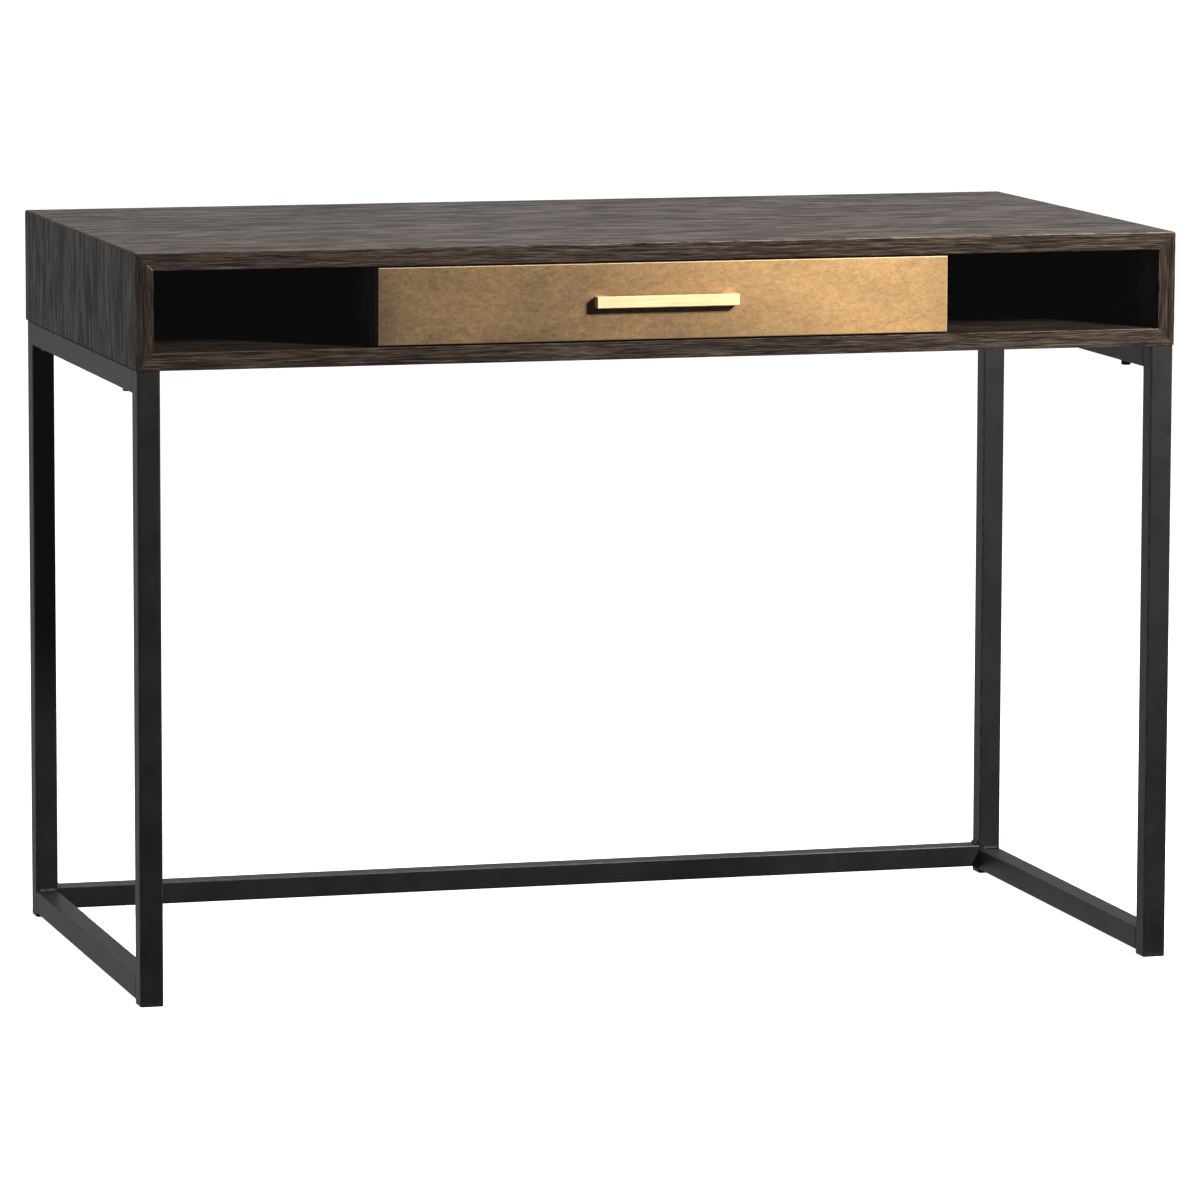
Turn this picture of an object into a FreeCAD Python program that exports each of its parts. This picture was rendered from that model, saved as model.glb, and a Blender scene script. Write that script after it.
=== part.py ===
import FreeCAD, Part
import os
import Sketcher

# Writing desk: a shallow mitred oak case on two welded square-tube side frames, with one
# brass-faced drawer in the middle of the case and an open cubby on each side of it.
# X runs along the width, the front faces -Y and Z is up. The origin is on the floor, at the
# middle of the desk's bounding box, which includes the handle in front of the case.
# Every place below is given in these desk coordinates, as an expression over the sheet.

doc = FreeCAD.newDocument("writing_desk")
sheet = doc.addObject("Spreadsheet::Sheet", "size")

drivingSizes = {
    # case
    "desk_width": 1096,
    "desk_height": 760,
    "case_depth": 560,
    "case_height": 118,
    "panel": 18,
    "back_panel": 10,
    "back_inset": 10,
    "back_groove": 6,
    "spline_width": 6,
    "spline_thick": 3,
    "spline_set": 6,
    "spline_stop": 20,
    "dowel_radius": 4,
    "dowel_in_panel": 12,
    "dowel_in_divider": 16,
    "dowel_margin": 55,
    "dowel_chamfer": 0.6,
    # side frames
    "tube": 24,
    "tube_wall": 1.5,
    "tube_corner": 2,
    "frame_inset": 1,
    "frame_front_setback": 1.5,
    "frame_back_setback": 5,
    "glide_height": 4,
    "glide_round": 1.2,
    "plug_height": 14,
    "plug_play": 0.2,
    "stretcher_lift": 4,
    "weld_leg": 4,
    "bolt_front_setback": 105,
    "bolt_rear_setback": 35,
    "bolt_inset": 11,
    "bolt_radius": 3,
    "bolt_head_radius": 5,
    "bolt_head_height": 5,
    "bolt_in_panel": 8.5,
    "washer_radius": 6.25,
    "washer_thick": 1,
    "insert_radius": 4.25,
    "insert_length": 9,
    # drawer front
    "face_width": 600,
    "face_thick": 20,
    "face_reveal": 2,
    "face_lap": 1,
    "face_gap": 2,
    "skin": 1,
    "skin_return": 18,
    "skin_bend": 0.9,
    "bumper_radius": 4,
    "bumper_thick": 1.7,
    "bumper_spread": 25,
    "handle_length": 150,
    "handle_height": 12,
    "handle_reach": 10,
    "handle_thick": 5,
    "handle_screw_grip": 7.5,
    "handle_ease": 0.8,
    # drawer box
    "box_length": 450,
    "box_height": 62,
    "box_lift": 8,
    "box_wall": 12,
    "box_bottom": 6,
    "box_groove": 6,
    "box_bottom_lift": 8,
    # drawer runners
    "slide_gap": 4,
    "slide_length": 450,
    "slide_middle_trim": 10,
    "slide_depth": 12.7,
    "slide_sheet": 1.2,
    "slide_outer_half": 17.5,
    "slide_middle_half": 13.1,
    "slide_inner_half": 8.7,
    "slide_bend": 0.8,
    "slide_outer_lip": 10.5,
    "slide_middle_web": 2.2,
    "slide_middle_lip": 11,
    "slide_inner_lip": 4.6,
    "cage_sheet": 0.5,
    "cage_length": 200,
    "cage_setback": 112,
    "outer_cage_web": 1.45,
    "outer_cage_lip": 9,
    "inner_cage_web": 3.7,
    "inner_cage_lip": 9.6,
    "ball_radius": 1.5,
    "ball_pitch": 40,
    "ball_margin": 20,
    "ball_depth": 6.5,
    # screws and running clearances
    "screw_radius": 1.75,
    "screw_head_radius": 3.25,
    "screw_length": 11,
    "screw_point": 3,
    "screw_sink": 0.05,
    "screw_margin": 35,
    "pan_radius": 2,
    "pan_head_radius": 4,
    "pan_head_height": 2.4,
    "pan_head_round": 1,
    "face_screw_length": 26,
    "face_screw_margin": 60,
    "face_screw_spread": 12,
    "hole_play": 0.1,
    "hole_end_play": 0.3,
    "hole_overrun": 1,
}

for row, (alias, amount) in enumerate(drivingSizes.items(), start=1):
    sheet.set(f"A{row}", alias)
    sheet.set(f"B{row}", str(amount))
    sheet.setAlias(f"B{row}", alias)
doc.recompute()

# planes of the case
halfWidth = "(size.desk_width / 2)"
front = "((size.handle_reach - size.case_depth) / 2)"
back = "((size.handle_reach + size.case_depth) / 2)"
top = "size.desk_height"
caseBase = "(size.desk_height - size.case_height)"
ceiling = "(size.desk_height - size.panel)"
shelf = f"({caseBase} + size.panel)"
innerHalf = f"({halfWidth} - size.panel)"
backFace = f"({back} - size.back_inset - size.back_panel)"

# planes of the drawer
faceHalf = "(size.face_width / 2)"
faceBack = f"({front} + size.face_thick)"
faceLow = f"({shelf} + size.face_reveal)"
faceHigh = f"({ceiling} - size.face_reveal)"
faceMiddle = f"(({faceLow} + {faceHigh}) / 2)"
dividerOuter = f"({faceHalf} - size.face_lap)"
dividerInner = f"({dividerOuter} - size.panel)"
dividerFront = f"({faceBack} + size.face_gap)"
boxHalf = f"({dividerInner} - size.slide_depth)"
boxInner = f"({boxHalf} - size.box_wall)"
boxFrontBack = f"({faceBack} + size.box_wall)"
boxBack = f"({faceBack} + size.box_length)"
boxLow = f"({shelf} + size.box_lift)"
boxHigh = f"({boxLow} + size.box_height)"
boxFloor = f"({boxLow} + size.box_bottom_lift)"
slideFront = f"({faceBack} + size.slide_gap)"
slideMiddle = f"({boxLow} + size.box_height / 2)"

# planes of the side frames
legOuter = f"({halfWidth} - size.frame_inset)"
legInner = f"({legOuter} - size.tube)"
frameFront = f"({front} + size.frame_front_setback)"
frameBack = f"({back} - size.frame_back_setback)"
railFront = f"({frameFront} + size.tube)"
railBack = f"({frameBack} - size.tube)"
topRailLow = f"({caseBase} - size.tube)"
stretcherLow = "(size.glide_height + size.stretcher_lift)"

sides = {"left": -1, "right": 1}
axisTurn = {
    "+X": FreeCAD.Rotation(FreeCAD.Vector(0, 1, 0), 90),
    "-X": FreeCAD.Rotation(FreeCAD.Vector(0, 1, 0), -90),
    "-Y": FreeCAD.Rotation(FreeCAD.Vector(1, 0, 0), 90),
    "+Z": FreeCAD.Rotation(),
}
# sketch axes of each origin plane, as indices into X, Y, Z; pads leave along +Z, -Y and +X
planeAxes = {"XY_Plane": (0, 1), "XZ_Plane": (0, 2), "YZ_Plane": (1, 2)}
originOf = {}
nodes = []


def amountOf(text):
    return float(sheet.evalExpression(text))


def moveTo(item, spot):
    for axis, text in zip("xyz", spot):
        item.setExpression(f".Placement.Base.{axis}", text)


def newBody(label, spot):
    body = doc.addObject("PartDesign::Body", label)
    body.Label = label
    moveTo(body, spot)
    originOf[body.Name] = spot
    return body


def newNode(label, x="0", y="0", z="0"):
    body = newBody(label, (x, y, z))
    nodes.append(body)
    return body


def local(body, axis, text):
    return f"({text}) - ({originOf[body.Name][axis]})"


def rectangle(low, high):
    return [(low[0], low[1]), (high[0], low[1]), (high[0], high[1]), (low[0], high[1])]


def bind(sketch, constraint, name, text):
    index = sketch.addConstraint(constraint)
    sketch.renameConstraint(index, name)
    sketch.setExpression(f"Constraints.{name}", text)


# a sketch on one of the body's own origin planes; outlines are closed runs of (u, v) points and
# circles are (u, v, radius), all in desk coordinates and all tied to the sheet
def newSketch(body, plane, outlines=(), circles=()):
    sketch = body.newObject("Sketcher::SketchObject", body.Label + "_sketch")
    base = next(item for item in body.Origin.OriginFeatures if item.Role == plane)
    sketch.AttachmentSupport = [(base, "")]
    sketch.MapMode = "FlatFace"
    across, up = planeAxes[plane]
    made = 0
    for outline in outlines:
        texts = [(local(body, across, u), local(body, up, v)) for u, v in outline]
        spots = [FreeCAD.Vector(amountOf(u), amountOf(v), 0) for u, v in texts]
        count = len(spots)
        for step in range(count):
            sketch.addGeometry(Part.LineSegment(spots[step], spots[(step + 1) % count]))
        for step in range(count):
            link = Sketcher.Constraint("Coincident", made + step, 2, made + (step + 1) % count, 1)
            sketch.addConstraint(link)
        for step, (u, v) in enumerate(texts):
            edge = made + step
            alongX = Sketcher.Constraint("DistanceX", -1, 1, edge, 1, spots[step].x)
            alongY = Sketcher.Constraint("DistanceY", -1, 1, edge, 1, spots[step].y)
            bind(sketch, alongX, f"across{edge}", u)
            bind(sketch, alongY, f"up{edge}", v)
        made += count
    for u, v, radius in circles:
        u, v = local(body, across, u), local(body, up, v)
        centre = FreeCAD.Vector(amountOf(u), amountOf(v), 0)
        sketch.addGeometry(Part.Circle(centre, FreeCAD.Vector(0, 0, 1), amountOf(radius)))
        bind(sketch, Sketcher.Constraint("DistanceX", -1, 1, made, 3, centre.x), f"across{made}", u)
        bind(sketch, Sketcher.Constraint("DistanceY", -1, 1, made, 3, centre.y), f"up{made}", v)
        bind(sketch, Sketcher.Constraint("Radius", made, amountOf(radius)), f"radius{made}", radius)
        made += 1
    return sketch


def pad(body, sketch, length):
    feature = body.newObject("PartDesign::Pad", body.Label + "_pad")
    feature.Profile = sketch
    feature.setExpression("Length", length)
    sketch.Visibility = False
    return feature


# cuts along the sketch plane's own pad direction, and checks that it takes something away
def pocket(body, sketch, length):
    doc.recompute()
    before = body.Shape.Volume
    feature = body.newObject("PartDesign::Pocket", body.Label + "_pocket")
    feature.Profile = sketch
    feature.Reversed = True
    feature.setExpression("Length", length)
    doc.recompute()
    if body.Shape.Volume > before - 1:
        raise RuntimeError(f"{feature.Label} cuts nothing")


def cutBox(body, low, high):
    feature = body.newObject("PartDesign::SubtractiveBox", body.Label + "_recess")
    for name, start, end in zip(("Length", "Width", "Height"), low, high):
        feature.setExpression(name, f"({end}) - ({start})")
    moveTo(feature, [local(body, axis, text) for axis, text in enumerate(low)])


# a round hole that starts at a spot and runs along an axis
def cutHole(body, axis, spot, radius, length):
    feature = body.newObject("PartDesign::SubtractiveCylinder", body.Label + "_hole")
    feature.setExpression("Radius", radius)
    feature.setExpression("Height", length)
    feature.Placement = FreeCAD.Placement(FreeCAD.Vector(), axisTurn[axis])
    moveTo(feature, [local(body, index, text) for index, text in enumerate(spot)])
    return feature


# a countersunk hole through sheet metal, wide at the spot and narrow on the far side
def cutCountersink(body, axis, spot):
    feature = body.newObject("PartDesign::SubtractiveCone", body.Label + "_countersink")
    feature.setExpression("Radius1", "size.screw_head_radius + size.hole_play")
    feature.setExpression("Radius2", "size.screw_radius + size.hole_play")
    feature.setExpression("Height", "size.slide_sheet")
    feature.Placement = FreeCAD.Placement(FreeCAD.Vector(), axisTurn[axis])
    moveTo(feature, [local(body, index, text) for index, text in enumerate(spot)])


# rounds the body's edges that pass the test, given each edge's direction and middle
def roundEdges(body, radius, wanted):
    doc.recompute()
    base = body.Tip
    names = []
    for number, edge in enumerate(base.Shape.Edges, start=1):
        if len(edge.Vertexes) != 2 or edge.Curve.TypeId != "Part::GeomLine":
            continue
        run = edge.Vertexes[1].Point - edge.Vertexes[0].Point
        middle = (edge.Vertexes[1].Point + edge.Vertexes[0].Point) / 2
        if wanted(run.normalize(), middle):
            names.append(f"Edge{number}")
    feature = body.newObject("PartDesign::Fillet", body.Label + "_round")
    feature.Base = (base, names)
    feature.setExpression("Radius", radius)


def block(label, low, high):
    body = newNode(label, z=low[2])
    outline = rectangle(low[:2], high[:2])
    pad(body, newSketch(body, "XY_Plane", [outline]), f"({high[2]}) - ({low[2]})")
    return body


# a piece turned about its own Z axis from half of its section, kept as a pattern piece that
# copies() sets in its places
def turned(label, profile):
    body = newBody(label, ("0", "0", "0"))
    sketch = newSketch(body, "XZ_Plane", [profile])
    feature = body.newObject("PartDesign::Revolution", label + "_turn")
    feature.Profile = sketch
    feature.ReferenceAxis = (sketch, ["V_Axis"])
    feature.Angle = 360
    return body


# one node of equal pieces: a link to the pattern piece at each spot, turned as asked
def copies(label, pattern, places):
    links = []
    for number, (spot, turn) in enumerate(places):
        link = doc.addObject("App::Link", f"{label}_{number}")
        link.LinkedObject = pattern
        link.Placement = FreeCAD.Placement(FreeCAD.Vector(), turn)
        moveTo(link, spot)
        links.append(link)
    group = doc.addObject("Part::Compound", label)
    group.Label = label
    group.Links = links
    nodes.append(group)


# ---- case ----

dividerMiddle = f"({dividerInner} + size.panel / 2)"
dowelRows = [
    f"({dividerFront} + size.dowel_margin)",
    f"(({dividerFront} + {backFace}) / 2)",
    f"({backFace} - size.dowel_margin)",
]
dowelHole = "size.dowel_radius + size.hole_play"
boltSpots = [
    f"({frameFront} + size.bolt_front_setback)",
    f"({frameBack} - size.bolt_rear_setback)",
]
railMiddle = f"({legOuter} - size.tube / 2)"
boltLine = f"({legInner} + size.bolt_inset)"


# section of one loose spline: it crosses the mitre of a case corner at right angles
def splineOutline(side, level):
    along = "(size.spline_width * sqrt(0.5) / 2)"
    aside = "(size.spline_thick * sqrt(0.5) / 2)"
    middleX = f"{side} * ({halfWidth} - size.spline_set)"
    middleZ = f"{top} - size.spline_set" if level > 0 else f"{caseBase} + size.spline_set"
    corners = []
    for end, face in ((1, 1), (1, -1), (-1, -1), (-1, 1)):
        x = f"{middleX} + {side} * ({-end} * {along} + {face} * {aside})"
        z = f"{middleZ} + {level} * ({end} * {along} + {face} * {aside})"
        corners.append((x, z))
    return corners


# a case panel from its mitred end view, with a stopped slot for each spline
def casePanel(label, height, outline, corners):
    body = newNode(label, y=back, z=height)
    pad(body, newSketch(body, "XZ_Plane", [outline]), "size.case_depth")
    slots = [splineOutline(side, level) for side, level in corners]
    pocket(body, newSketch(body, "XZ_Plane", slots), "size.case_depth - size.spline_stop")
    return body


def flatPanel(label, level):
    outer = top if level > 0 else caseBase
    inner = ceiling if level > 0 else shelf
    outline = [
        (f"-{halfWidth}", outer),
        (halfWidth, outer),
        (innerHalf, inner),
        (f"-{innerHalf}", inner),
    ]
    body = casePanel(label, outer, outline, [(-1, level), (1, level)])
    grooveEnd = f"({innerHalf} + size.back_groove)"
    grooveLow = inner if level > 0 else f"{inner} - size.back_groove"
    grooveHigh = f"{inner} + size.back_groove" if level > 0 else inner
    cutBox(body, (f"-{grooveEnd}", backFace, grooveLow),
           (grooveEnd, f"{back} - size.back_inset", grooveHigh))
    holeLow = inner if level > 0 else f"{inner} - size.dowel_in_panel - size.hole_end_play"
    for side in sides.values():
        for row in dowelRows:
            spot = (f"{side} * {dividerMiddle}", row, holeLow)
            cutHole(body, "+Z", spot, dowelHole, "size.dowel_in_panel + size.hole_end_play")
    return body


def sidePanel(label, side):
    outline = [
        (f"{side} * {halfWidth}", caseBase),
        (f"{side} * {halfWidth}", top),
        (f"{side} * {innerHalf}", ceiling),
        (f"{side} * {innerHalf}", shelf),
    ]
    body = casePanel(label, caseBase, outline, [(side, 1), (side, -1)])
    faces = (f"{side} * {innerHalf}", f"{side} * ({innerHalf} + size.back_groove)")
    low, high = faces if side > 0 else reversed(faces)
    cutBox(body, (low, backFace, f"{shelf} - size.back_groove"),
           (high, f"{back} - size.back_inset", f"{ceiling} + size.back_groove"))


flatPanel("top_panel", 1)
bottomPanel = flatPanel("bottom_panel", -1)
for side in sides.values():
    for row in boltSpots:
        spot = (f"{side} * {boltLine}", row, caseBase)
        cutHole(bottomPanel, "+Z", spot, "size.insert_radius + size.hole_play",
                "size.insert_length + size.hole_end_play")
for name, side in sides.items():
    sidePanel(f"{name}_side_panel", side)

block("back_panel",
      (f"-({innerHalf} + size.back_groove)", backFace, f"{shelf} - size.back_groove"),
      (f"{innerHalf} + size.back_groove", f"{back} - size.back_inset", f"{ceiling} + size.back_groove"))

splines = newNode("corner_splines", y=back)
splineOutlines = [splineOutline(side, level) for side in sides.values() for level in (1, -1)]
pad(splines, newSketch(splines, "XZ_Plane", splineOutlines), "size.case_depth - size.spline_stop")

# places along the runners of the screws into the dividers and into the drawer box
screwRows = [
    f"({slideFront} + size.screw_margin)",
    f"({slideFront} + size.slide_length / 2)",
    f"({slideFront} + size.slide_length - size.screw_margin)",
]
screwHole = "size.screw_radius + size.hole_play"

for name, side in sides.items():
    faces = (f"{side} * {dividerInner}", f"{side} * {dividerOuter}")
    low, high = faces if side > 0 else reversed(faces)
    divider = block(f"{name}_divider", (low, dividerFront, shelf), (high, backFace, ceiling))
    for row in dowelRows:
        depth = "size.dowel_in_divider + size.hole_end_play"
        for start in (shelf, f"{ceiling} - ({depth})"):
            cutHole(divider, "+Z", (f"{side} * {dividerMiddle}", row, start), dowelHole, depth)
    for row in screwRows:
        spot = (f"{side} * {dividerInner}", row, slideMiddle)
        cutHole(divider, "+X" if side > 0 else "-X", spot, screwHole,
                "size.screw_length + size.hole_end_play")

dowelLength = "(size.dowel_in_panel + size.dowel_in_divider)"
dowel = turned("dowel", [
    ("0", "0"),
    ("size.dowel_radius - size.dowel_chamfer", "0"),
    ("size.dowel_radius", "size.dowel_chamfer"),
    ("size.dowel_radius", f"{dowelLength} - size.dowel_chamfer"),
    ("size.dowel_radius - size.dowel_chamfer", dowelLength),
    ("0", dowelLength),
])
dowelStarts = (f"{shelf} - size.dowel_in_panel", f"{ceiling} - size.dowel_in_divider")
copies("divider_dowels", dowel, [
    ((f"{side} * {dividerMiddle}", row, start), axisTurn["+Z"])
    for side in sides.values() for row in dowelRows for start in dowelStarts
])

# ---- side frames ----


# a hollow square tube whose section starts at one corner, padded along the plane's direction
def tube(label, plane, spot, length):
    body = newNode(label, *spot)
    across, up = planeAxes[plane]
    corner = (spot[across], spot[up])
    far = (f"{corner[0]} + size.tube", f"{corner[1]} + size.tube")
    hollowLow = (f"{corner[0]} + size.tube_wall", f"{corner[1]} + size.tube_wall")
    hollowHigh = (f"{far[0]} - size.tube_wall", f"{far[1]} - size.tube_wall")
    sketch = newSketch(body, plane, [rectangle(corner, far), rectangle(hollowLow, hollowHigh)])
    pad(body, sketch, length)
    width = amountOf("size.tube")
    axis = 3 - across - up

    def onCorner(run, middle):
        ends = [min(abs(middle[index]), abs(middle[index] - width)) for index in (across, up)]
        return abs(run[axis]) > 0.99 and max(ends) < 0.01

    roundEdges(body, "size.tube_corner", onCorner)
    return body


legLength = f"{caseBase} - size.glide_height"
frameRows = {"front": frameFront, "rear": railBack}

for name, side in sides.items():
    legX = legInner if side > 0 else f"-{legOuter}"
    for row, legY in frameRows.items():
        tube(f"{row}_{name}_leg", "XY_Plane", (legX, legY, "size.glide_height"), legLength)

        # the glide's foot covers the tube's end, and its plug goes up inside the tube
        glide = newNode(f"{row}_{name}_glide", legX, legY, "0")
        foot = rectangle((legX, legY), (f"{legX} + size.tube", f"{legY} + size.tube"))
        pad(glide, newSketch(glide, "XY_Plane", [foot]), "size.glide_height")
        roundEdges(glide, "size.tube_corner", lambda run, middle: abs(run.z) > 0.99)
        roundEdges(glide, "size.glide_round", lambda run, middle: middle.z < 0.01)
        inset = "(size.tube_wall + size.plug_play)"
        plug = rectangle((f"{legX} + {inset}", f"{legY} + {inset}"),
                         (f"{legX} + size.tube - {inset}", f"{legY} + size.tube - {inset}"))
        pad(glide, newSketch(glide, "XY_Plane", [plug]), "size.glide_height + size.plug_height")

    railLength = f"{railBack} - {railFront}"
    topRail = tube(f"{name}_top_rail", "XZ_Plane", (legX, railBack, topRailLow), railLength)
    for row in boltSpots:
        cutHole(topRail, "+Z", (f"{side} * {boltLine}", row, topRailLow),
                "size.bolt_radius + 2 * size.hole_play", "size.tube")
    tube(f"{name}_floor_rail", "XZ_Plane", (legX, railBack, "size.glide_height"), railLength)

tube("rear_stretcher", "YZ_Plane", (f"-{legInner}", railBack, stretcherLow), f"2 * {legInner}")

# a weld bead in an inner corner at the origin, with its legs along +Y and +Z
bead = newBody("bead", ("0", "0", "0"))
beadLength = "(size.tube - 2 * size.tube_corner)"
beadSketch = newSketch(bead, "YZ_Plane", [[("0", "0"), ("size.weld_leg", "0"), ("0", "size.weld_leg")]])
beadPad = pad(bead, beadSketch, beadLength)
beadPad.Midplane = True

floorRailHigh = "(size.glide_height + size.tube)"
quarter = {("+Y", "+Z"): 0, ("-Y", "+Z"): 90, ("-Y", "-Z"): 180, ("+Y", "-Z"): 270}


def turnX(angle):
    return FreeCAD.Rotation(FreeCAD.Vector(1, 0, 0), angle)


def turnZ(angle):
    return FreeCAD.Rotation(FreeCAD.Vector(0, 0, 1), angle)


beadPlaces = []
for side in sides.values():
    middle = f"{side} * {railMiddle}"
    for legFace, away in ((railFront, "+Y"), (railBack, "-Y")):
        beadPlaces.append(((middle, legFace, floorRailHigh), turnX(quarter[away, "+Z"])))
        beadPlaces.append(((middle, legFace, topRailLow), turnX(quarter[away, "-Z"])))
    # at the stretcher's ends the bead's +Y leg is turned towards the middle of the desk
    inward = turnZ(90 if side > 0 else -90)
    stretcherMiddle = f"{railBack} + size.tube / 2"
    for level, angle in ((f"{stretcherLow} + size.tube", 0), (stretcherLow, 270)):
        spot = (f"{side} * {legInner}", stretcherMiddle, level)
        beadPlaces.append((spot, inward * turnX(angle)))
copies("weld_beads", bead, beadPlaces)

boltLow = f"({topRailLow} - size.washer_thick)"
boltLength = "(size.washer_thick + size.tube + size.bolt_in_panel)"
bolt = turned("bolt", [
    ("0", "-size.bolt_head_height"),
    ("size.bolt_head_radius * 0.55", "-size.bolt_head_height"),
    ("size.bolt_head_radius * 0.85", "-size.bolt_head_height * 0.75"),
    ("size.bolt_head_radius", "-size.bolt_head_height * 0.35"),
    ("size.bolt_head_radius", "0"),
    ("size.bolt_radius", "0"),
    ("size.bolt_radius", boltLength),
    ("0", boltLength),
])
washer = turned("washer", [
    ("size.bolt_radius + size.hole_play", "0"),
    ("size.washer_radius", "0"),
    ("size.washer_radius", "size.washer_thick"),
    ("size.bolt_radius + size.hole_play", "size.washer_thick"),
])
insert = turned("insert", [
    ("size.bolt_radius + size.hole_play", "0"),
    ("size.insert_radius", "0"),
    ("size.insert_radius", "size.insert_length"),
    ("size.bolt_radius + size.hole_play", "size.insert_length"),
])
boltRuns = [(f"{side} * {boltLine}", row) for side in sides.values() for row in boltSpots]
copies("frame_bolts", bolt, [((x, y, boltLow), axisTurn["+Z"]) for x, y in boltRuns])
copies("frame_washers", washer, [((x, y, boltLow), axisTurn["+Z"]) for x, y in boltRuns])
copies("threaded_inserts", insert, [((x, y, caseBase), axisTurn["+Z"]) for x, y in boltRuns])

# ---- drawer runners ----


# distance from the divider's inner face, turned into a place along X
def fromDivider(side, depth):
    return f"{side} * ({dividerInner} - ({depth}))"


# section of a bent channel: its web stands at one depth and both lips reach to another
def channel(side, web, lip, half, thick):
    towards = 1 if amountOf(lip) > amountOf(web) else -1
    inner = f"{web} + {towards} * {thick}"
    corners = [
        (web, f"-{half}"),
        (lip, f"-{half}"),
        (lip, f"-{half} + {thick}"),
        (inner, f"-{half} + {thick}"),
        (inner, f"{half} - {thick}"),
        (lip, f"{half} - {thick}"),
        (lip, half),
        (web, half),
    ]
    return [(fromDivider(side, depth), f"{slideMiddle} + {height}") for depth, height in corners]


def runner(label, side, start, length, web, lip, half, thick):
    body = newNode(label, fromDivider(side, web), f"{start} + {length}", slideMiddle)
    section = channel(side, web, lip, half, thick)
    pad(body, newSketch(body, "XZ_Plane", [section]), length)

    def onBend(run, middle):
        return abs(run.y) > 0.99 and abs(middle.x) < 0.01

    if thick == "size.slide_sheet":
        roundEdges(body, "size.slide_bend", onBend)
    return body


cageStart = f"({slideFront} + size.cage_setback)"
ballRows = [f"({cageStart} + size.ball_margin + {step} * size.ball_pitch)" for step in range(5)]
middleLip = "(size.slide_middle_half - size.slide_sheet)"
outerLip = "(size.slide_outer_half - size.slide_sheet)"
cages = {
    "outer": ("size.outer_cage_web", "size.outer_cage_lip",
              f"(({outerLip} + size.slide_middle_half) / 2)"),
    "inner": ("size.inner_cage_web", "size.inner_cage_lip",
              f"(({middleLip} + size.slide_inner_half) / 2)"),
}


# a ball cage and its two rows of balls, which run between the lips of two channels
def ballCage(name, side, kind):
    web, lip, gapMiddle = cages[kind]
    half = f"({gapMiddle} + size.cage_sheet / 2)"
    label = f"{name}_{kind}_cage"
    cage = runner(label, side, cageStart, "size.cage_length", web, lip, half, "size.cage_sheet")
    balls = []
    for number, row in enumerate(ballRows):
        x = fromDivider(side, "size.ball_depth")
        cutHole(cage, "+Z", (x, row, f"{slideMiddle} - {half} - size.hole_overrun"),
                "size.ball_radius + size.hole_play", f"2 * ({half} + size.hole_overrun)")
        for sign in ("-", "+"):
            ball = doc.addObject("Part::Sphere", f"{name}_{kind}_ball_{number}")
            ball.setExpression("Radius", "size.ball_radius")
            moveTo(ball, (x, row, f"{slideMiddle} {sign} {gapMiddle}"))
            balls.append(ball)
    group = doc.addObject("Part::Compound", f"{name}_{kind}_balls")
    group.Label = f"{name}_{kind}_balls"
    group.Links = balls
    nodes.append(group)


slideSheet = "size.slide_sheet"
drawerScrewFace = f"(size.slide_depth - {slideSheet})"
for name, side in sides.items():
    outward, inward = ("+X", "-X") if side > 0 else ("-X", "+X")
    outer = runner(f"{name}_slide_outer", side, slideFront, "size.slide_length",
                   "0", "size.slide_outer_lip", "size.slide_outer_half", slideSheet)
    runner(f"{name}_slide_middle", side, slideFront, "(size.slide_length - size.slide_middle_trim)",
           "size.slide_middle_web", "size.slide_middle_lip", "size.slide_middle_half", slideSheet)
    inner = runner(f"{name}_slide_inner", side, slideFront, "size.slide_length",
                   "size.slide_depth", "size.slide_inner_lip", "size.slide_inner_half", slideSheet)
    for row in screwRows:
        cutCountersink(outer, outward, (fromDivider(side, slideSheet), row, slideMiddle))
        cutCountersink(inner, inward, (fromDivider(side, drawerScrewFace), row, slideMiddle))
    for kind in cages:
        ballCage(name, side, kind)

screwEnd = f"(size.screw_length + {slideSheet})"
screw = turned("screw", [
    ("0", "size.screw_sink"),
    ("size.screw_head_radius", "size.screw_sink"),
    ("size.screw_radius", slideSheet),
    ("size.screw_radius", f"{screwEnd} - size.screw_point"),
    ("0", screwEnd),
])
caseScrews = []
drawerScrews = []
for side in sides.values():
    outward, inward = ("+X", "-X") if side > 0 else ("-X", "+X")
    for row in screwRows:
        caseScrews.append(((fromDivider(side, slideSheet), row, slideMiddle), axisTurn[outward]))
        drawerScrews.append(((fromDivider(side, drawerScrewFace), row, slideMiddle), axisTurn[inward]))
copies("slide_case_screws", screw, caseScrews)
copies("slide_drawer_screws", screw, drawerScrews)

# ---- drawer face ----

handleHalf = "(size.handle_length / 2)"
postMiddle = f"({handleHalf} - size.handle_height / 2)"
handleFront = f"({front} - size.handle_reach)"
postFront = f"({handleFront} + size.handle_thick)"
handleSpots = [(f"{side} * {postMiddle}", faceMiddle) for side in sides.values()]
faceScrewHalf = f"({boxInner} - size.face_screw_margin)"
faceScrewSpots = [
    (f"{side} * {faceScrewHalf}", f"{faceMiddle} + {level} * size.face_screw_spread")
    for side in sides.values() for level in (-1, 1)
]
panHole = "size.pan_radius + size.hole_play"
handleScrewLength = "(size.box_wall + size.face_thick + size.handle_screw_grip)"
barHole = "size.handle_screw_grip + size.handle_thick - size.handle_reach + size.hole_end_play"


# holes that run forward from the given plane, one at each (x, z) spot
def cutForward(body, start, spots, length):
    for x, z in spots:
        cutHole(body, "-Y", (x, start, z), panHole, length)


skinInner = f"({faceHalf} - size.skin)"
faceSkin = newNode("face_skin", y=f"{front} + size.skin_return", z=faceMiddle)
skinOutline = rectangle((f"-{faceHalf}", faceLow), (faceHalf, faceHigh))
pad(faceSkin, newSketch(faceSkin, "XZ_Plane", [skinOutline]), "size.skin_return")


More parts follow.
